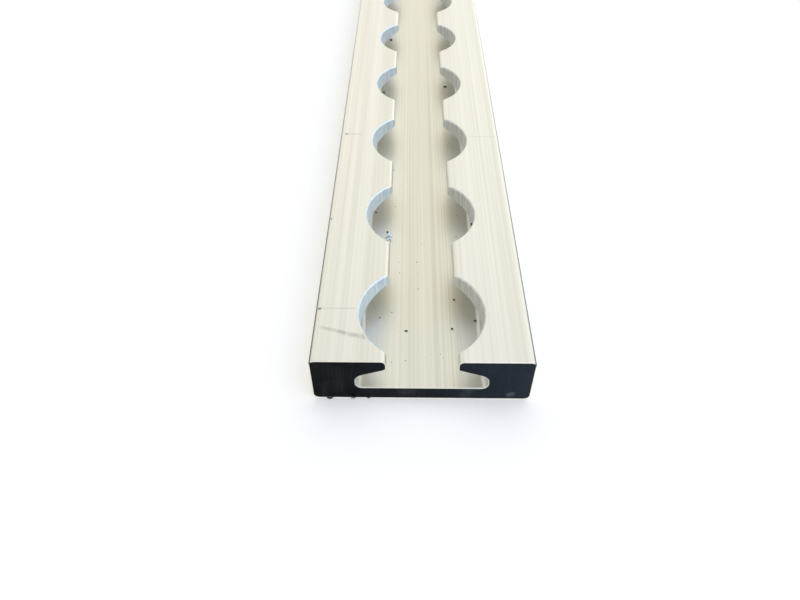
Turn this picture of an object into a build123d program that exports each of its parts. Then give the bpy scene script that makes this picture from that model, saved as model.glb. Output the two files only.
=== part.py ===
import os

from build123d import *

# Stock sizes in millimetres
rail_length = 300.0
rail_width = 34.0
floor_thickness = 2.7

# Undercut slot: open between two lips that taper towards their tips
slot_width = 10.8
groove_width = 20.3
groove_height = 2.55
lip_root_thickness = 3.75
lip_tip_thickness = 2.0

# Round stud holes milled through both lips
stud_hole_diameter = 20.0
stud_hole_pitch = 25.4
rim_break = 0.2

# Corner radii of the extruded section
foot_radius = 1.0
shoulder_radius = 0.9
lip_top_radius = 0.9
lip_under_radius = 0.6
groove_floor_radius = 1.0
groove_roof_radius = 1.5

# Broken edge round both saw cuts
end_break = 0.15

# Shares of the neighbouring wall that a corner radius may take up
lip_top_limit_share = 0.5
lip_under_limit_share = 0.4
floor_limit_share = 0.4
roof_limit_share = 0.6

rail_height = floor_thickness + groove_height + lip_root_thickness
lip_tip_level = rail_height - lip_tip_thickness
lip_root_level = rail_height - lip_root_thickness
nose_top_radius = min(lip_top_radius, lip_top_limit_share * lip_tip_thickness)
nose_under_radius = min(lip_under_radius, lip_under_limit_share * lip_tip_thickness)
floor_radius = min(groove_floor_radius, floor_limit_share * groove_height)
roof_radius = min(groove_roof_radius, roof_limit_share * groove_height)

# As many whole stud holes as the length takes, spread evenly about its middle
stud_hole_radius = stud_hole_diameter / 2
stud_hole_count = int((rail_length - stud_hole_diameter) // stud_hole_pitch) + 1

# The cutter stops inside the groove, at the level where the groove is widest
cutter_depth = rail_height - floor_thickness - floor_radius

# Right half of the section: across, up and corner radius
half_section = [
    (rail_width / 2, 0, foot_radius),
    (rail_width / 2, rail_height, shoulder_radius),
    (slot_width / 2, rail_height, nose_top_radius),
    (slot_width / 2, lip_tip_level, nose_under_radius),
    (groove_width / 2, lip_root_level, roof_radius),
    (groove_width / 2, floor_thickness, floor_radius),
]
corners = [(across, up) for across, up, radius in half_section]
corners += [(-across, up) for across, up, radius in reversed(half_section)]
half_radii = [radius for across, up, radius in half_section]
radii = half_radii + half_radii[::-1]

with BuildPart() as rail:
    # Section, drawn across the rail and extruded to both sides of the middle
    with BuildSketch(Plane.XZ):
        with BuildLine():
            FilletPolyline(*corners, radius=radii, close=True)
        make_face()
    extrude(amount=rail_length / 2, both=True)

    # The edges round both saw cuts are broken
    edges_along = rail.edges().group_by(Axis.Y)
    chamfer(edges_along[0] + edges_along[-1], length=end_break)

    # Stud holes from the top face, with a broken rim
    with Locations(Plane.XY.offset(rail_height)):
        with GridLocations(0, stud_hole_pitch, 1, stud_hole_count):
            Hole(stud_hole_radius, depth=cutter_depth)
            Cone(
                bottom_radius=stud_hole_radius,
                top_radius=stud_hole_radius + rim_break,
                height=rim_break,
                align=(Align.CENTER, Align.CENTER, Align.MAX),
                mode=Mode.SUBTRACT,
            )

rail.part.label = "rail"
os.makedirs("parts", exist_ok=True)
export_step(rail.part, "parts/rail.step")
print("rail", stud_hole_count, "stud holes, volume", round(rail.part.volume))
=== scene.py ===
import math
import random

import bpy
from mathutils import Matrix, Vector


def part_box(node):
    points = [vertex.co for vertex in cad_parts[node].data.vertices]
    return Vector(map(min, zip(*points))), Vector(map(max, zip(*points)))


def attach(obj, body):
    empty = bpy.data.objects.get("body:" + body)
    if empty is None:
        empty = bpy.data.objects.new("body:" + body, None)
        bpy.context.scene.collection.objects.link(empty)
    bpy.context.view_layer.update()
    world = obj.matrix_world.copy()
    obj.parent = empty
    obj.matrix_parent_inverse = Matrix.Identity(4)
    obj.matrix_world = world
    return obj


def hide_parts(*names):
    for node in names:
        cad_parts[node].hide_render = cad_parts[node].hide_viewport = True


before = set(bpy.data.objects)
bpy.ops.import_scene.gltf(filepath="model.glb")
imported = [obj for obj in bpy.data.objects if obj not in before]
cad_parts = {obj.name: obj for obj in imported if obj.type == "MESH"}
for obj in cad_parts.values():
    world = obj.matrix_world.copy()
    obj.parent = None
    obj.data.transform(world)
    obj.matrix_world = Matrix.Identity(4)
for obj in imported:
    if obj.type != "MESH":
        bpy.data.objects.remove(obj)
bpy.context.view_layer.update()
low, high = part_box("rail")
scene = bpy.context.scene
mm = 0.001
nearEnd = low.y / mm  # the end towards the camera, which the marks are measured from
print("frame loaded, rail", [round((b - a) / mm, 1) for a, b in zip(low, high)], "mm")


def linear(hexColour):
    parts = [int(hexColour[i:i + 2], 16) / 255 for i in (1, 3, 5)]
    return tuple(p / 12.92 if p <= 0.04045 else ((p + 0.055) / 1.055) ** 2.4 for p in parts) + (1.0,)


# one node with its settings; an input that is a socket is linked, anything else is set on the node
def addNode(tree, kind, inputs=None, **settings):
    node = tree.nodes.new(kind)
    for key, value in settings.items():
        setattr(node, key, value)
    for key, value in (inputs or {}).items():
        if isinstance(value, bpy.types.NodeSocket):
            tree.links.new(value, node.inputs[key])
        else:
            node.inputs[key].default_value = value
    return node


def newMaterial(name):
    material = bpy.data.materials.new(name)
    material.use_nodes = True
    material.node_tree.nodes.clear()
    return material, material.node_tree


def newGeometryTree(name, sockets):
    tree = bpy.data.node_groups.new(name, "GeometryNodeTree")
    tree.interface.new_socket("Geometry", in_out="INPUT", socket_type="NodeSocketGeometry")
    for label, kind in sockets.items():
        tree.interface.new_socket(label, in_out="INPUT", socket_type="NodeSocket" + kind)
    tree.interface.new_socket("Geometry", in_out="OUTPUT", socket_type="NodeSocketGeometry")
    return tree, addNode(tree, "NodeGroupInput").outputs


def addTree(piece, tree, values):
    modifier = piece.modifiers.new(tree.name, "NODES")
    modifier.node_group = tree
    for item in tree.interface.items_tree:
        if item.in_out == "INPUT" and item.name in values:
            modifier[item.identifier] = values[item.name]


# the evaluated shape becomes a plain mesh and the modifiers go
def asPlainMesh(piece):
    bpy.context.view_layer.update()
    graph = bpy.context.evaluated_depsgraph_get()
    shape = piece.evaluated_get(graph)
    mesh = bpy.data.meshes.new_from_object(shape, preserve_all_data_layers=True, depsgraph=graph)
    piece.modifiers.clear()
    piece.data = mesh
    mesh.name = piece.name


def newPiece(name, points, edges=(), faces=()):
    mesh = bpy.data.meshes.new(name)
    mesh.from_pydata(points, edges, faces)
    piece = bpy.data.objects.new(name, mesh)
    scene.collection.objects.link(piece)
    return piece


strokeCore = 0.3  # share of a stroke's width that keeps its full strength


# the strength along a stroke between two points in mm, fading out over its width
def strokeMask(tree, spot, start, end, width, strength):
    start, run = Vector(start), Vector(end) - Vector(start)
    out = addNode(tree, "ShaderNodeVectorMath", {0: spot, 1: start}, operation="SUBTRACT").outputs[0]
    along = addNode(tree, "ShaderNodeVectorMath", {0: out, 1: run / run.length_squared}, operation="DOT_PRODUCT")
    along = addNode(tree, "ShaderNodeClamp", {"Value": along.outputs["Value"]}).outputs[0]
    foot = addNode(tree, "ShaderNodeVectorMath", {0: run, "Scale": along}, operation="SCALE").outputs[0]
    off = addNode(tree, "ShaderNodeVectorMath", {0: out, 1: foot}, operation="DISTANCE").outputs["Value"]
    return addNode(tree, "ShaderNodeMapRange", {
        "Value": off, "From Min": width * strokeCore, "From Max": width, "To Min": strength, "To Max": 0.0,
    }).outputs["Result"]


# the bar in mm
barSizes = {
    "floorThickness": 2.7,
    "slotWidth": 10.8,
    "grooveWidth": 20.3,
    "lipRoot": 3.75,
    "lipTip": 2.0,
    "footRadius": 1.0,
    "shoulderRadius": 0.9,
    "lipTopRadius": 0.9,
    "lipUnderRadius": 0.6,
    "grooveFloorRadius": 1.0,
    "grooveRoofRadius": 1.5,
    "arcSteps": 8,
    "endBreak": 0.15,     # broken edge round both saw cuts
    "endBreakSteps": 2,
    "endBreakAngle": 60,  # degrees, so that only the edges round the saw cuts are broken
    "endDepth": 0.1,      # faces this near an end that face along the bar are saw cut
    "endFacing": 0.99,    # the least part of their normal along the bar
    "creaseAngle": 32,    # degrees, sharper folds stay sharp
}
# its stud holes in mm
holeSizes = {
    "diameter": 20.0, "pitch": 25.4, "count": 12, "rimBreak": 0.2, "cutterBottom": 3.7, "segments": 120,
    "cutterReach": 1.0,   # cutters stand this far past the top face
    "mergeGap": 0.004,    # points closer than this after the cuts become one
}
width, height = (high.x - low.x) / mm, (high.z - low.z) / mm
lipUnderside = height - barSizes["lipTip"]

# Mill-finish aluminium, as extruded: soft cream-silver with fine die lines along the length
millLook = {
    "pale": "#EFECE0",
    "mid": "#E7E4D5",
    "streak": "#C9C3B2",
    "streakShare": 0.22,
    "lineWidth": 0.3,      # mm across one die line
    "lineLength": 300.0,   # mm before a line fades
    "lineDepth": 0.003,    # mm, drawn deeper than real so it shows
    "bandWidth": 2.4,      # mm across the broad tone bands
    "bandLength": 120.0,   # mm along them
    "floorTint": "#E7E2CC",
    "floorShare": 0.55,
    "floorFade": (0.05, 0.4),  # mm above the groove floor
    "floorLines": 1.2,     # the die draws harder on the groove floor
    "paintedLipShade": "#DAD9D2",   # painted shade: greyer behind and under the lips, where they shade the groove
    "paintedLipShadeShare": 0.85,
    "paintedLipShadeFade": 1.8,     # mm behind the lip's nose
    "paintedLipShadeRise": 0.6,     # mm up the lip's nose
    "paintedLipShadeReach": 12.0,   # mm from the middle, past the groove's wall
    # the colour of the handling marks and of the painted shade along both top edges
    "grimeAndEdgeShade": "#57544B",
    "rubFineness": 1.1,    # breaks in a rub mark per mm
    "roughLow": 0.38,
    "roughHigh": 0.52,
    "grimeAndEdgeShadeRough": 0.85,
}
# handling marks on the left flange and the right one: across and from the near end in mm, width, strength
topMarks = [
    ((-16.4, 10.9), (-10.65, 10.9), 0.16, 0.2),
    ((-16.5, 10.8), (-16.2, 10.8), 0.32, 0.75),
    ((-16.5, 33.7), (-16.45, 33.8), 0.3, 0.7),
    ((-16.0, 63.0), (-12.6, 63.0), 0.16, 0.35),
    ((-15.9, 63.0), (-15.6, 63.1), 0.32, 0.7),
    ((10.9, 62.2), (16.3, 62.1), 0.2, 0.1),
]
# a broken rub mark near the first hole, in the same terms
rubMarks = [
    ((-15.6, 6.75), (-12.9, 5.95), 0.46, 0.28),
    ((-12.9, 5.95), (-11.6, 5.55), 0.52, 0.34),
    ((-11.2, 5.4), (-8.9, 4.85), 0.6, 0.32),
    ((-8.9, 4.85), (-7.9, 4.4), 0.46, 0.14),
]
# painted shade: a dark line in the grime colour along both top edges, in mm, from its near strength to its far one
paintedEdgeShade = {"across": 16.88, "up": 8.55, "width": 0.46, "near": 1.0, "far": 0.3, "fades": 130.0}
millFinish, tree = newMaterial("millFinishAluminium")
place = addNode(tree, "ShaderNodeTexCoord").outputs["Object"]
inMm = addNode(tree, "ShaderNodeVectorMath", {0: place, 1: (1 / mm,) * 3}, operation="MULTIPLY").outputs[0]
lineScale = (1 / millLook["lineWidth"], 1 / millLook["lineLength"], 1 / millLook["lineWidth"])
bandScale = (1 / millLook["bandWidth"], 1 / millLook["bandLength"], 1 / millLook["bandWidth"])
lines = addNode(tree, "ShaderNodeVectorMath", {0: inMm, 1: lineScale}, operation="MULTIPLY").outputs[0]
bands = addNode(tree, "ShaderNodeVectorMath", {0: inMm, 1: bandScale}, operation="MULTIPLY").outputs[0]
fineNoise = addNode(tree, "ShaderNodeTexNoise", {
    "Vector": lines, "Scale": 1.0, "Detail": 1.5, "Roughness": 0.6,
}).outputs["Fac"]
bandNoise = addNode(tree, "ShaderNodeTexNoise", {
    "Vector": bands, "Scale": 1.0, "Detail": 2.0, "Roughness": 0.5,
}).outputs["Fac"]
bandTone = addNode(tree, "ShaderNodeMapRange", {
    "Value": bandNoise, "From Min": 0.35, "From Max": 0.65,
}).outputs["Result"]
lineTone = addNode(tree, "ShaderNodeMapRange", {
    "Value": fineNoise, "From Min": 0.38, "From Max": 0.72, "To Max": millLook["streakShare"],
}).outputs["Result"]
tone = addNode(tree, "ShaderNodeMix", {
    "Factor": bandTone, "A": linear(millLook["mid"]), "B": linear(millLook["pale"]),
}, data_type="RGBA").outputs["Result"]
spot = addNode(tree, "ShaderNodeSeparateXYZ", {0: inMm})
upward = spot.outputs["Z"]
aside = addNode(tree, "ShaderNodeMath", {0: spot.outputs["X"]}, operation="ABSOLUTE").outputs[0]
onFloor = addNode(tree, "ShaderNodeMapRange", {
    "Value": upward,
    "From Min": barSizes["floorThickness"] + millLook["floorFade"][0],
    "From Max": barSizes["floorThickness"] + millLook["floorFade"][1],
    "To Min": millLook["floorShare"], "To Max": 0.0,
}).outputs["Result"]
tone = addNode(tree, "ShaderNodeMix", {
    "Factor": onFloor, "A": tone, "B": linear(millLook["floorTint"]),
}, data_type="RGBA").outputs["Result"]
deeper = addNode(tree, "ShaderNodeMath", {
    0: onFloor, 1: millLook["floorLines"], 2: 1.0,
}, operation="MULTIPLY_ADD").outputs[0]
lineTone = addNode(tree, "ShaderNodeMath", {0: lineTone, 1: deeper}, operation="MULTIPLY").outputs[0]
tone = addNode(tree, "ShaderNodeMix", {
    "Factor": lineTone, "A": tone, "B": linear(millLook["streak"]),
}, data_type="RGBA").outputs["Result"]
# Painted shade: the groove behind and under the lips is drawn greyer, as where the lips shade it
behindLip = addNode(tree, "ShaderNodeMapRange", {
    "Value": aside,
    "From Min": barSizes["slotWidth"] / 2, "From Max": barSizes["slotWidth"] / 2 + millLook["paintedLipShadeFade"],
    "To Max": millLook["paintedLipShadeShare"],
}).outputs["Result"]
underLip = addNode(tree, "ShaderNodeMapRange", {
    "Value": upward, "From Min": lipUnderside, "From Max": lipUnderside + millLook["paintedLipShadeRise"],
    "To Min": 1.0, "To Max": 0.0,
}).outputs["Result"]
paintedLipShade = addNode(tree, "ShaderNodeMath", {0: behindLip, 1: underLip}, operation="MULTIPLY").outputs[0]
inside = addNode(tree, "ShaderNodeMath", {0: aside, 1: millLook["paintedLipShadeReach"]}, operation="LESS_THAN").outputs[0]
paintedLipShade = addNode(tree, "ShaderNodeMath", {0: paintedLipShade, 1: inside}, operation="MULTIPLY").outputs[0]
tone = addNode(tree, "ShaderNodeMix", {
    "Factor": paintedLipShade, "A": tone, "B": linear(millLook["paintedLipShade"]),
}, data_type="RGBA").outputs["Result"]
rubNoise = addNode(tree, "ShaderNodeTexNoise", {
    "Vector": inMm, "Scale": millLook["rubFineness"], "Detail": 2.0,
}).outputs["Fac"]
rubBreak = addNode(tree, "ShaderNodeMapRange", {
    "Value": rubNoise, "From Min": 0.3, "From Max": 0.6, "To Min": 0.5,
}).outputs["Result"]
fade = addNode(tree, "ShaderNodeMapRange", {
    "Value": spot.outputs["Y"], "From Min": nearEnd, "From Max": nearEnd + paintedEdgeShade["fades"],
    "To Min": paintedEdgeShade["near"], "To Max": paintedEdgeShade["far"],
}).outputs["Result"]
strokes = []
for marks, broken in ((topMarks, None), (rubMarks, rubBreak)):
    for start, end, wide, strength in marks:
        ends = [(x, y + nearEnd, height) for x, y in (start, end)]
        strokes.append((ends[0], ends[1], wide, strength, broken))
# painted shade: a dark line along both top edges, added to the real marks
for across in (-paintedEdgeShade["across"], paintedEdgeShade["across"]):
    ends = [(across, y / mm, paintedEdgeShade["up"]) for y in (low.y, high.y)]
    strokes.append((ends[0], ends[1], paintedEdgeShade["width"], 1.0, fade))
grimeAndEdgeShade = None
for start, end, wide, strength, broken in strokes:
    mark = strokeMask(tree, inMm, start, end, wide, strength)
    if broken:
        mark = addNode(tree, "ShaderNodeMath", {0: mark, 1: broken}, operation="MULTIPLY").outputs[0]
    if grimeAndEdgeShade:
        mark = addNode(tree, "ShaderNodeMath", {0: grimeAndEdgeShade, 1: mark}, operation="MAXIMUM").outputs[0]
    grimeAndEdgeShade = mark
tone = addNode(tree, "ShaderNodeMix", {
    "Factor": grimeAndEdgeShade, "A": tone, "B": linear(millLook["grimeAndEdgeShade"]),
}, data_type="RGBA").outputs["Result"]
rough = addNode(tree, "ShaderNodeMapRange", {
    "Value": fineNoise, "From Min": 0.3, "From Max": 0.7,
    "To Min": millLook["roughLow"], "To Max": millLook["roughHigh"],
}).outputs["Result"]
rough = addNode(tree, "ShaderNodeMapRange", {
    "Value": grimeAndEdgeShade, "To Min": rough, "To Max": millLook["grimeAndEdgeShadeRough"],
}).outputs["Result"]
bare = addNode(tree, "ShaderNodeMath", {0: 1.0, 1: grimeAndEdgeShade}, operation="SUBTRACT").outputs[0]  # dirt and the painted edge shade hide the metal
relief = addNode(tree, "ShaderNodeBump", {
    "Height": fineNoise, "Distance": millLook["lineDepth"] * mm, "Strength": 1.0,
}).outputs["Normal"]
skin = addNode(tree, "ShaderNodeBsdfPrincipled", {
    "Base Color": tone, "Metallic": bare, "Roughness": rough, "Normal": relief,
}).outputs["BSDF"]
addNode(tree, "ShaderNodeOutputMaterial", {"Surface": skin})

# End-milled aluminium: upright cutter marks; the walls on the left of each hole are painted bright and bluish as if
# lit from the right (painted light and painted reflection), those on the right painted dull (painted shade)
millCutLook = {
    "litSidePale": "#F2FAFF",
    "litSideDark": "#DCEAF7",
    "shadedSidePale": "#E6E5E0",
    "shadedSideDark": "#D3D3CF",
    "markWidth": 0.45,   # mm round the wall
    "markHeight": 6.0,   # mm up it
    "markDepth": 0.006,  # mm
    "litToShadedFade": 4.0,    # mm either side of the middle, where the painted lit side turns to the painted shaded side
    "roughness": 0.62,
}
millCut, tree = newMaterial("endMilledAluminium")
place = addNode(tree, "ShaderNodeTexCoord").outputs["Object"]
spot = addNode(tree, "ShaderNodeSeparateXYZ", {0: place})
pitch = holeSizes["pitch"] * mm
marksAround = holeSizes["diameter"] / 2 / millCutLook["markWidth"]
along = addNode(tree, "ShaderNodeMath", {0: spot.outputs["Y"], 1: pitch, 2: 0.0}, operation="WRAP").outputs[0]
along = addNode(tree, "ShaderNodeMath", {0: along, 1: pitch / 2}, operation="SUBTRACT").outputs[0]
turn = addNode(tree, "ShaderNodeMath", {0: spot.outputs["X"], 1: along}, operation="ARCTAN2").outputs[0]
around = addNode(tree, "ShaderNodeMath", {0: turn, 1: marksAround}, operation="MULTIPLY").outputs[0]
up = addNode(tree, "ShaderNodeMath", {
    0: spot.outputs["Z"], 1: 1 / (millCutLook["markHeight"] * mm),
}, operation="MULTIPLY").outputs[0]
wall = addNode(tree, "ShaderNodeCombineXYZ", {"X": around, "Y": up}).outputs[0]
marks = addNode(tree, "ShaderNodeTexNoise", {"Vector": wall, "Scale": 1.0, "Detail": 2.0}).outputs["Fac"]
markTone = addNode(tree, "ShaderNodeMapRange", {
    "Value": marks, "From Min": 0.35, "From Max": 0.65,
}).outputs["Result"]
# painted light: lit-side tones on the left walls, shaded-side tones on the right walls
paintedLitSide = addNode(tree, "ShaderNodeMix", {
    "Factor": markTone, "A": linear(millCutLook["litSideDark"]), "B": linear(millCutLook["litSidePale"]),
}, data_type="RGBA").outputs["Result"]
paintedShadedSide = addNode(tree, "ShaderNodeMix", {
    "Factor": markTone, "A": linear(millCutLook["shadedSideDark"]), "B": linear(millCutLook["shadedSidePale"]),
}, data_type="RGBA").outputs["Result"]
litToShaded = addNode(tree, "ShaderNodeMapRange", {
    "Value": spot.outputs["X"],
    "From Min": -millCutLook["litToShadedFade"] * mm, "From Max": millCutLook["litToShadedFade"] * mm,
}).outputs["Result"]
tone = addNode(tree, "ShaderNodeMix", {"Factor": litToShaded, "A": paintedLitSide, "B": paintedShadedSide}, data_type="RGBA").outputs["Result"]
relief = addNode(tree, "ShaderNodeBump", {
    "Height": marks, "Distance": millCutLook["markDepth"] * mm, "Strength": 1.0,
}).outputs["Normal"]
skin = addNode(tree, "ShaderNodeBsdfPrincipled", {
    "Base Color": tone, "Metallic": 1.0, "Roughness": millCutLook["roughness"], "Normal": relief,
}).outputs["BSDF"]
addNode(tree, "ShaderNodeOutputMaterial", {"Surface": skin})

# Saw cut, near black, a little gloss, saw lines show through; its turn from black on the left to navy on the right
# is painted light
sawCutLook = {
    "black": "#040406",
    "navy": "#212933",
    "haze": "#3B4148",
    "smear": "#8B9299",
    "hazeShare": 0.19,
    "lineWidth": 0.5,         # mm across one saw line
    "lineHeight": 6.0,        # mm up it
    "lineDepth": 0.01,        # mm
    "blotch": 2.6,            # mm
    "paintedLightTurns": (-12.0, 16.0),   # mm across, from black to navy: painted light, darker on the left and lighter on the right
    "roughness": 0.42,
    "gloss": 0.05,
}
# paler smears on the near end: across and up in mm, width, strength
paleEndSmears = [
    ((-2.8, 1.7), (-1.6, 1.9), 1.1, 0.13),
    ((6.7, 1.0), (7.3, 2.1), 1.1, 0.15),
    ((13.7, 1.1), (14.0, 1.3), 0.8, 0.34),
    ((-12.9, 2.0), (-12.6, 7.0), 1.2, 0.035),
]
sawCut, tree = newMaterial("nearBlackSawCut")
place = addNode(tree, "ShaderNodeTexCoord").outputs["Object"]
inMm = addNode(tree, "ShaderNodeVectorMath", {0: place, 1: (1 / mm,) * 3}, operation="MULTIPLY").outputs[0]
lineScale = (1 / sawCutLook["lineWidth"], 1.0, 1 / sawCutLook["lineHeight"])
lines = addNode(tree, "ShaderNodeVectorMath", {0: inMm, 1: lineScale}, operation="MULTIPLY").outputs[0]
sawNoise = addNode(tree, "ShaderNodeTexNoise", {"Vector": lines, "Scale": 1.0, "Detail": 2.0}).outputs["Fac"]
blotch = addNode(tree, "ShaderNodeTexNoise", {
    "Vector": inMm, "Scale": 1 / sawCutLook["blotch"], "Detail": 3.0,
}).outputs["Fac"]
across = addNode(tree, "ShaderNodeSeparateXYZ", {0: inMm}).outputs["X"]
# painted light: black on the left turning to navy on the right
across = addNode(tree, "ShaderNodeMapRange", {
    "Value": across, "From Min": sawCutLook["paintedLightTurns"][0], "From Max": sawCutLook["paintedLightTurns"][1],
}).outputs["Result"]
tone = addNode(tree, "ShaderNodeMix", {
    "Factor": across, "A": linear(sawCutLook["black"]), "B": linear(sawCutLook["navy"]),
}, data_type="RGBA").outputs["Result"]
hazeMask = addNode(tree, "ShaderNodeMath", {0: blotch, 1: sawNoise}, operation="MULTIPLY").outputs[0]
hazeMask = addNode(tree, "ShaderNodeMapRange", {
    "Value": hazeMask, "From Min": 0.18, "From Max": 0.42, "To Max": sawCutLook["hazeShare"],
}).outputs["Result"]
tone = addNode(tree, "ShaderNodeMix", {
    "Factor": hazeMask, "A": tone, "B": linear(sawCutLook["haze"]),
}, data_type="RGBA").outputs["Result"]
for start, end, wide, strength in paleEndSmears:
    ends = [(x, nearEnd, z) for x, z in (start, end)]
    smear = strokeMask(tree, inMm, ends[0], ends[1], wide, strength)
    smear = addNode(tree, "ShaderNodeMath", {0: smear, 1: blotch}, operation="MULTIPLY").outputs[0]
    tone = addNode(tree, "ShaderNodeMix", {
        "Factor": smear, "A": tone, "B": linear(sawCutLook["smear"]),
    }, data_type="RGBA").outputs["Result"]
relief = addNode(tree, "ShaderNodeBump", {
    "Height": sawNoise, "Distance": sawCutLook["lineDepth"] * mm, "Strength": 1.0,
}).outputs["Normal"]
skin = addNode(tree, "ShaderNodeBsdfPrincipled", {
    "Base Color": tone, "Roughness": sawCutLook["roughness"],
    "Specular IOR Level": sawCutLook["gloss"], "Normal": relief,
}).outputs["BSDF"]
addNode(tree, "ShaderNodeOutputMaterial", {"Surface": skin})

# Two small materials of one make, each uneven in tone.
# Dark drops: near black, glossy enough to catch a grey glint
# Workshop grit: dull dark crumbs of cutting dirt, no two the same tone
speckLooks = {
    "darkGlossyDrop": {"dark": "#0C0E12", "pale": "#2A3138", "grain": 0.5, "detail": 2.0, "roughness": 0.22},
    "workshopGrit": {"dark": "#2A2927", "pale": "#77736A", "grain": 0.4, "detail": 3.0, "roughness": 0.85},
}
specks = {}
for name, look in speckLooks.items():
    specks[name], tree = newMaterial(name)
    place = addNode(tree, "ShaderNodeTexCoord").outputs["Object"]
    uneven = addNode(tree, "ShaderNodeTexNoise", {
        "Vector": place, "Scale": 1 / (look["grain"] * mm), "Detail": look["detail"],
    }).outputs["Fac"]
    tone = addNode(tree, "ShaderNodeMix", {
        "Factor": uneven, "A": linear(look["dark"]), "B": linear(look["pale"]),
    }, data_type="RGBA").outputs["Result"]
    skin = addNode(tree, "ShaderNodeBsdfPrincipled", {
        "Base Color": tone, "Roughness": look["roughness"],
    }).outputs["BSDF"]
    addNode(tree, "ShaderNodeOutputMaterial", {"Surface": skin})
print("materials made")

# The bar: its section loop is drawn once, rounded at the corners and swept, then the stud holes are cut
half = [
    (width / 2, 0, barSizes["footRadius"]),
    (width / 2, height, barSizes["shoulderRadius"]),
    (barSizes["slotWidth"] / 2, height, barSizes["lipTopRadius"]),
    (barSizes["slotWidth"] / 2, lipUnderside, barSizes["lipUnderRadius"]),
    (barSizes["grooveWidth"] / 2, height - barSizes["lipRoot"], barSizes["grooveRoofRadius"]),
    (barSizes["grooveWidth"] / 2, barSizes["floorThickness"], barSizes["grooveFloorRadius"]),
]
loop = half + [(-x, z, r) for x, z, r in reversed(half)]
loopPoints = [(x * mm, -z * mm, 0) for x, z, r in loop]  # the sweep turns -Y of the section up
bar = newPiece("railBar", loopPoints, [(i, (i + 1) % len(loop)) for i in range(len(loop))])
cornerRadii = bar.data.attributes.new("cornerRadius", "FLOAT", "POINT")
cornerRadii.data.foreach_set("value", [r * mm for x, z, r in loop])

sweep, given = newGeometryTree("extrudeSection", {"Length": "Float", "Arc Steps": "Int", "Skin": "Material"})
corner = addNode(sweep, "GeometryNodeInputNamedAttribute", {"Name": "cornerRadius"}, data_type="FLOAT")
outline = addNode(sweep, "GeometryNodeMeshToCurve", {"Mesh": given["Geometry"]}).outputs["Curve"]
outline = addNode(sweep, "GeometryNodeFilletCurve", {
    "Curve": outline, "Count": given["Arc Steps"], "Radius": corner.outputs["Attribute"], "Limit Radius": True,
}, mode="POLY").outputs["Curve"]
halfLength = addNode(sweep, "ShaderNodeMath", {0: given["Length"], 1: 0.5}, operation="MULTIPLY").outputs[0]
farPoint = addNode(sweep, "ShaderNodeCombineXYZ", {"Y": halfLength}).outputs[0]
nearPoint = addNode(sweep, "ShaderNodeVectorMath", {0: farPoint, 1: (-1.0,) * 3}, operation="MULTIPLY").outputs[0]
path = addNode(sweep, "GeometryNodeCurvePrimitiveLine", {"Start": nearPoint, "End": farPoint}).outputs["Curve"]
swept = addNode(sweep, "GeometryNodeCurveToMesh", {
    "Curve": path, "Profile Curve": outline, "Fill Caps": True,
}).outputs["Mesh"]
swept = addNode(sweep, "GeometryNodeSetMaterial", {"Geometry": swept, "Material": given["Skin"]}).outputs["Geometry"]
addNode(sweep, "NodeGroupOutput", {"Geometry": swept})
addTree(bar, sweep, {"Length": high.y - low.y, "Arc Steps": barSizes["arcSteps"], "Skin": millFinish})
endBreak = bar.modifiers.new("endBreak", "BEVEL")
endBreak.width = barSizes["endBreak"] * mm
endBreak.segments = barSizes["endBreakSteps"]
endBreak.limit_method = "ANGLE"
endBreak.angle_limit = math.radians(barSizes["endBreakAngle"])
endBreak.use_clamp_overlap = False

holes, given = newGeometryTree("cutStudHoles", {
    "Count": "Int", "Pitch": "Float", "Radius": "Float", "Rim Break": "Float", "Bottom": "Float", "Top": "Float",
    "Segments": "Int", "Wall Skin": "Material", "End Skin": "Material",
})
reach = holeSizes["cutterReach"] * mm
depth = addNode(holes, "ShaderNodeMath", {0: given["Top"], 1: given["Bottom"]}, operation="SUBTRACT").outputs[0]
depth = addNode(holes, "ShaderNodeMath", {0: depth, 1: reach}, operation="ADD").outputs[0]
middle = addNode(holes, "ShaderNodeMath", {
    0: depth, 1: 0.5, 2: given["Bottom"],
}, operation="MULTIPLY_ADD").outputs[0]
drill = addNode(holes, "GeometryNodeMeshCylinder", {
    "Vertices": given["Segments"], "Radius": given["Radius"], "Depth": depth,
}).outputs["Mesh"]
lift = addNode(holes, "ShaderNodeCombineXYZ", {"Z": middle}).outputs[0]
drill = addNode(holes, "GeometryNodeTransform", {"Geometry": drill, "Translation": lift}).outputs["Geometry"]
rimTop = addNode(holes, "ShaderNodeMath", {0: given["Radius"], 1: given["Rim Break"]}, operation="ADD").outputs[0]
coneTop = addNode(holes, "ShaderNodeMath", {0: rimTop, 1: reach}, operation="ADD").outputs[0]
coneFoot = addNode(holes, "ShaderNodeMath", {0: rimTop, 1: reach}, operation="SUBTRACT").outputs[0]
sink = addNode(holes, "GeometryNodeMeshCone", {
    "Vertices": given["Segments"], "Radius Top": coneTop, "Radius Bottom": coneFoot, "Depth": 2 * reach,
}).outputs["Mesh"]
coneBase = addNode(holes, "ShaderNodeMath", {0: given["Top"], 1: reach}, operation="SUBTRACT").outputs[0]
lift = addNode(holes, "ShaderNodeCombineXYZ", {"Z": coneBase}).outputs[0]
sink = addNode(holes, "GeometryNodeTransform", {"Geometry": sink, "Translation": lift}).outputs["Geometry"]
spread = addNode(holes, "ShaderNodeMath", {0: given["Count"], 1: 1.0}, operation="SUBTRACT").outputs[0]
start = addNode(holes, "ShaderNodeMath", {0: spread, 1: given["Pitch"]}, operation="MULTIPLY").outputs[0]
start = addNode(holes, "ShaderNodeMath", {0: start, 1: -0.5}, operation="MULTIPLY").outputs[0]
start = addNode(holes, "ShaderNodeCombineXYZ", {"Y": start}).outputs[0]
step = addNode(holes, "ShaderNodeCombineXYZ", {"Y": given["Pitch"]}).outputs[0]
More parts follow.
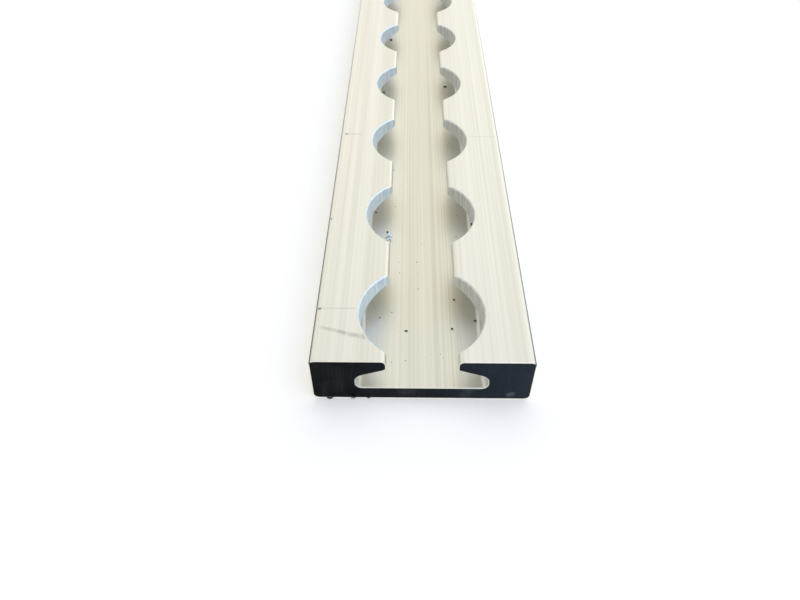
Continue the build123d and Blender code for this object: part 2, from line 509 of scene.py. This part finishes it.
row = addNode(holes, "GeometryNodeMeshLine", {
    "Count": given["Count"], "Start Location": start, "Offset": step,
}).outputs["Mesh"]
cut = given["Geometry"]
for cutter in (drill, sink):
    cutter = addNode(holes, "GeometryNodeSetMaterial", {"Geometry": cutter, "Material": given["Wall Skin"]})
    cutter = addNode(holes, "GeometryNodeInstanceOnPoints", {"Points": row, "Instance": cutter.outputs["Geometry"]})
    cutter = addNode(holes, "GeometryNodeRealizeInstances", {"Geometry": cutter.outputs["Instances"]})
    cut = addNode(holes, "GeometryNodeMeshBoolean", {
        "Mesh 1": cut, "Mesh 2": cutter.outputs["Geometry"],
    }, operation="DIFFERENCE", solver="EXACT").outputs["Mesh"]
cut = addNode(holes, "GeometryNodeMergeByDistance", {
    "Geometry": cut, "Distance": holeSizes["mergeGap"] * mm,
}).outputs["Geometry"]
normal = addNode(holes, "GeometryNodeInputNormal").outputs["Normal"]
facing = addNode(holes, "ShaderNodeSeparateXYZ", {0: normal}).outputs["Y"]
facing = addNode(holes, "ShaderNodeMath", {0: facing}, operation="ABSOLUTE").outputs[0]
isEnd = addNode(holes, "FunctionNodeCompare", {
    0: facing, 1: barSizes["endFacing"],
}, operation="GREATER_THAN", data_type="FLOAT")
spot = addNode(holes, "GeometryNodeInputPosition").outputs["Position"]
along = addNode(holes, "ShaderNodeSeparateXYZ", {0: spot}).outputs["Y"]
along = addNode(holes, "ShaderNodeMath", {0: along}, operation="ABSOLUTE").outputs[0]
atEnd = addNode(holes, "FunctionNodeCompare", {
    0: along, 1: high.y - barSizes["endDepth"] * mm,
}, operation="GREATER_THAN", data_type="FLOAT")
isEnd = addNode(holes, "FunctionNodeBooleanMath", {0: isEnd.outputs[0], 1: atEnd.outputs[0]}, operation="AND")
cut = addNode(holes, "GeometryNodeSetMaterial", {
    "Geometry": cut, "Selection": isEnd.outputs[0], "Material": given["End Skin"],
}).outputs["Geometry"]
cut = addNode(holes, "GeometryNodeSetShadeSmooth", {
    "Geometry": cut, "Shade Smooth": True,
}, domain="FACE").outputs["Geometry"]
fold = addNode(holes, "GeometryNodeInputMeshEdgeAngle").outputs["Unsigned Angle"]
crease = addNode(holes, "FunctionNodeCompare", {
    0: fold, 1: math.radians(barSizes["creaseAngle"]),
}, operation="GREATER_THAN", data_type="FLOAT").outputs[0]
cut = addNode(holes, "GeometryNodeSetShadeSmooth", {
    "Geometry": cut, "Selection": crease, "Shade Smooth": False,
}, domain="EDGE").outputs["Geometry"]
addNode(holes, "NodeGroupOutput", {"Geometry": cut})
addTree(bar, holes, {
    "Count": holeSizes["count"], "Pitch": pitch, "Radius": holeSizes["diameter"] / 2 * mm,
    "Rim Break": holeSizes["rimBreak"] * mm, "Bottom": holeSizes["cutterBottom"] * mm, "Top": high.z,
    "Segments": holeSizes["segments"], "Wall Skin": millCut, "End Skin": sawCut,
})
flat = bar.modifiers.new("flatFaces", "WEIGHTED_NORMAL")  # large faces keep flat shading up to the roundings
flat.keep_sharp = True
asPlainMesh(bar)
skins = [m.name for m in bar.data.materials]
print("bar", len(bar.data.vertices), "points", len(bar.data.polygons), "faces", skins)
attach(bar, "root")
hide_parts("rail")

# Small loose pieces: uneven grains of given sizes at given places
grainSizes = {
    "narrow": 0.8,       # depth of a grain for a width of 1
    "tilt": 0.4,         # radians either way
    "spin": 6.28,        # radians, a full turn
    "unevenness": 0.35,
    "lumpWidth": 0.35,   # mm
    "lumpHeight": 0.5,   # mm at an unevenness of 1
}
strew, given = newGeometryTree("strewGrit", {
    "Flatness": "Float", "Unevenness": "Float", "Seed": "Int", "Skin": "Material",
})
size = addNode(strew, "GeometryNodeInputNamedAttribute", {"Name": "crumbSize"}, data_type="FLOAT")
grain = addNode(strew, "GeometryNodeMeshIcoSphere", {"Radius": 0.5, "Subdivisions": 2}).outputs["Mesh"]
squash = addNode(strew, "ShaderNodeCombineXYZ", {"X": 1.0, "Y": grainSizes["narrow"], "Z": given["Flatness"]})
grain = addNode(strew, "GeometryNodeTransform", {
    "Geometry": grain, "Scale": squash.outputs[0],
}).outputs["Geometry"]
tilt = grainSizes["tilt"]
spin = addNode(strew, "FunctionNodeRandomValue", {
    "Min": (-tilt, -tilt, 0.0), "Max": (tilt, tilt, grainSizes["spin"]), "Seed": given["Seed"],
}, data_type="FLOAT_VECTOR").outputs["Value"]
cloud = addNode(strew, "GeometryNodeMeshToPoints", {"Mesh": given["Geometry"]}).outputs["Points"]
crumbs = addNode(strew, "GeometryNodeInstanceOnPoints", {
    "Points": cloud, "Instance": grain, "Rotation": spin, "Scale": size.outputs["Attribute"],
}).outputs["Instances"]
crumbs = addNode(strew, "GeometryNodeRealizeInstances", {"Geometry": crumbs}).outputs["Geometry"]
lumps = addNode(strew, "ShaderNodeTexNoise", {
    "Vector": addNode(strew, "GeometryNodeInputPosition").outputs["Position"],
    "Scale": 1 / (grainSizes["lumpWidth"] * mm), "Detail": 2.0,
}).outputs["Color"]
lumps = addNode(strew, "ShaderNodeVectorMath", {0: lumps, 1: (0.5, 0.5, 0.5)}, operation="SUBTRACT").outputs[0]
shove = addNode(strew, "ShaderNodeMath", {
    0: given["Unevenness"], 1: grainSizes["lumpHeight"] * mm,
}, operation="MULTIPLY").outputs[0]
lumps = addNode(strew, "ShaderNodeVectorMath", {0: lumps, "Scale": shove}, operation="SCALE").outputs[0]
crumbs = addNode(strew, "GeometryNodeSetPosition", {"Geometry": crumbs, "Offset": lumps}).outputs["Geometry"]
crumbs = addNode(strew, "GeometryNodeSetShadeSmooth", {
    "Geometry": crumbs, "Shade Smooth": True,
}, domain="FACE").outputs["Geometry"]
crumbs = addNode(strew, "GeometryNodeSetMaterial", {
    "Geometry": crumbs, "Material": given["Skin"],
}).outputs["Geometry"]
addNode(strew, "NodeGroupOutput", {"Geometry": crumbs})

# Grit in the groove and on the milled walls, with finer dust; places are across, from the near end and up,
# then the size, in mm
gritCrumbs = {
    "name": "gritCrumbs", "seed": 11, "flatness": 0.45, "skin": specks["workshopGrit"],
    "fineCount": 26, "fineSize": (0.12, 0.26), "fineAcross": 6, "fineFrom": 4, "fineReach": 56, "fineCrowding": 1.4,
    "spots": [
        (5.85, 19.1, 2.7, 0.55), (9.2, 14.2, 2.7, 0.65), (5.2, 12.3, 2.7, 0.55), (-2.5, 11.75, 2.7, 0.6),
        (-7.0, 14.7, 2.7, 0.35), (-6.3, 37.5, 2.75, 0.55), (7.0, 96.4, 2.7, 1.0), (-8.7, 93.7, 2.7, 0.8),
        (7.5, 43.0, 2.7, 0.3), (7.0, 36.2, 2.7, 0.3), (-8.55, 40.2, 5.5, 0.55), (9.85, 36.2, 5.8, 0.75),
        (-7.46, 118.2, 5.5, 1.0),
    ],
}
dice = random.Random(gritCrumbs["seed"])
for _ in range(gritCrumbs["fineCount"]):
    x = dice.uniform(-gritCrumbs["fineAcross"], gritCrumbs["fineAcross"])
    y = gritCrumbs["fineFrom"] + gritCrumbs["fineReach"] * dice.random() ** gritCrumbs["fineCrowding"]
    gritCrumbs["spots"].append((x, y, barSizes["floorThickness"], dice.uniform(*gritCrumbs["fineSize"])))
# Dark beads along the near end's lower edge
darkEndBeads = {
    "name": "darkEndBeads", "seed": 3, "flatness": 0.22, "skin": specks["darkGlossyDrop"],
    "spots": [(-14.35, 0.4, 0.31, 1.7), (-10.8, 0.38, 0.31, 1.6), (-8.1, 0.34, 0.29, 1.35)],
}
# Bright chips that the cutter left in the second hole; sitting left of the middle they take the end-milled
# material's painted lit-side tone
swarfChips = {
    "name": "swarfChips", "seed": 5, "flatness": 0.6, "skin": millCut,
    "spots": [
        (-6.0, 36.6, 2.9, 0.8), (-5.6, 36.2, 2.88, 0.65), (-6.35, 36.1, 2.88, 0.6),
        (-5.75, 35.5, 2.88, 0.6), (-6.2, 35.2, 2.86, 0.5), (-5.5, 35.0, 2.86, 0.45),
    ],
}
for look in (gritCrumbs, darkEndBeads, swarfChips):
    grains = newPiece(look["name"], [(x * mm, (y + nearEnd) * mm, z * mm) for x, y, z, s in look["spots"]])
    sizes = grains.data.attributes.new("crumbSize", "FLOAT", "POINT")
    sizes.data.foreach_set("value", [s * mm for x, y, z, s in look["spots"]])
    addTree(grains, strew, {
        "Flatness": look["flatness"], "Unevenness": grainSizes["unevenness"],
        "Seed": look["seed"], "Skin": look["skin"],
    })
    asPlainMesh(grains)
    print(look["name"], len(grains.data.polygons), "faces")
    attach(grains, "root")

# The photo's camera: place in mm, turns in degrees, lens and sensor in mm
cameraSetup = {
    "place": (-2.14, -210.04, 83.28), "down": 45.55, "left": 1.06, "roll": -0.39,
    "lens": 28.99, "sensor": 36, "nearest": 5,
}
camera = bpy.data.objects.new("photoCamera", bpy.data.cameras.new("photoCamera"))
camera.data.lens = cameraSetup["lens"]
camera.data.sensor_width = cameraSetup["sensor"]
camera.data.clip_start = cameraSetup["nearest"] * mm
turned = Matrix.Rotation(math.radians(cameraSetup["left"]), 4, "Z")
turned = turned @ Matrix.Rotation(math.radians(90 - cameraSetup["down"]), 4, "X")
turned = turned @ Matrix.Rotation(math.radians(cameraSetup["roll"]), 4, "Z")
camera.matrix_world = Matrix.Translation(Vector(cameraSetup["place"]) * mm) @ turned
scene.collection.objects.link(camera)
scene.camera = camera
scene.view_settings.view_transform = "Standard"


# 1 for rays that see the background itself, straight or in a mirror or through glass
def seenRays(tree, rays):
    seen = addNode(tree, "ShaderNodeMath", {
        0: rays["Is Camera Ray"], 1: rays["Is Glossy Ray"],
    }, operation="MAXIMUM").outputs[0]
    return addNode(tree, "ShaderNodeMath", {
        0: seen, 1: rays["Is Transmission Ray"],
    }, operation="MAXIMUM").outputs[0]


# Pale paper floor: camera and mirror rays see a little white added, so open paper is white and the shadow stays
paperLook = {
    "paper": "#F6F4F0",
    "addedWhite": 0.165,
    "farWhite": 0.3,
    "near": 0.25,  # metres from the middle, where the added white starts to rise
    "far": 1.6,
    "half": 4,     # metres
}
side = paperLook["half"]
floor = newPiece("studioFloor", [(-side, -side, 0), (side, -side, 0), (side, side, 0), (-side, side, 0)],
                 faces=[(0, 1, 2, 3)])
paper, tree = newMaterial("palePaperFloor")
seen = seenRays(tree, addNode(tree, "ShaderNodeLightPath").outputs)
spot = addNode(tree, "ShaderNodeNewGeometry").outputs["Position"]
away = addNode(tree, "ShaderNodeVectorMath", {0: spot}, operation="LENGTH").outputs["Value"]
added = addNode(tree, "ShaderNodeMapRange", {
    "Value": away, "From Min": paperLook["near"], "From Max": paperLook["far"],
    "To Min": paperLook["addedWhite"], "To Max": paperLook["farWhite"],
}).outputs["Result"]
added = addNode(tree, "ShaderNodeMath", {0: seen, 1: added}, operation="MULTIPLY").outputs[0]
lit = addNode(tree, "ShaderNodeBsdfDiffuse", {"Color": linear(paperLook["paper"])}).outputs["BSDF"]
white = addNode(tree, "ShaderNodeEmission", {"Color": (1, 1, 1, 1), "Strength": added}).outputs["Emission"]
skin = addNode(tree, "ShaderNodeAddShader", {0: lit, 1: white}).outputs["Shader"]
addNode(tree, "ShaderNodeOutputMaterial", {"Surface": skin})
floor.data.materials.append(paper)

# Soft room: plain white to the eye and low down in the metal, dimmer overhead and as light on paper
roomLook = {"light": 0.8, "low": 0.35, "high": 0.95, "overhead": 0.74}
world = bpy.data.worlds.new("softRoom")
world.use_nodes = True
tree = world.node_tree
tree.nodes.clear()
rays = addNode(tree, "ShaderNodeLightPath").outputs
seen = seenRays(tree, rays)
way = addNode(tree, "ShaderNodeTexCoord").outputs["Generated"]
upward = addNode(tree, "ShaderNodeSeparateXYZ", {0: way}).outputs["Z"]
mirrored = addNode(tree, "ShaderNodeMapRange", {
    "Value": upward, "From Min": roomLook["low"], "From Max": roomLook["high"],
    "To Min": 1.0, "To Max": roomLook["overhead"],
}).outputs["Result"]
mirrored = addNode(tree, "ShaderNodeMath", {
    0: mirrored, 1: rays["Is Camera Ray"],
}, operation="MAXIMUM").outputs[0]
level = addNode(tree, "ShaderNodeMapRange", {
    "Value": seen, "To Min": roomLook["light"], "To Max": mirrored,
}).outputs["Result"]
room = addNode(tree, "ShaderNodeBackground", {"Color": (1, 1, 1, 1), "Strength": level}).outputs["Background"]
addNode(tree, "ShaderNodeOutputWorld", {"Surface": room})
scene.world = world

# large dim lamps, in metres and watts, all aimed at one place on the bar
lampAim = Vector((0, -0.1, 0))
lamps = {
    "softboxBack": {"place": (0.0, 0.8, 0.55), "size": (1.4, 0.9), "watts": 0.85, "colour": "#FFFDF8"},
    "windowRight": {"place": (0.55, -0.3, 1.1), "size": (1.4, 1.0), "watts": 5.2, "colour": "#B6D7FF"},
    "stripRight": {"place": (0.6, 0.7, 0.22), "size": (0.7, 0.35), "watts": 0.6, "colour": "#E4F0FF"},
}
for name, look in lamps.items():
    lamp = bpy.data.objects.new(name, bpy.data.lights.new(name, "AREA"))
    lamp.data.shape = "RECTANGLE"
    lamp.data.size, lamp.data.size_y = look["size"]
    lamp.data.energy = look["watts"]
    lamp.data.color = linear(look["colour"])[:3]
    lamp.location = look["place"]
    lamp.rotation_euler = (lampAim - lamp.location).to_track_quat("-Z", "Y").to_euler()
    scene.collection.objects.link(lamp)
print("camera and lights set")
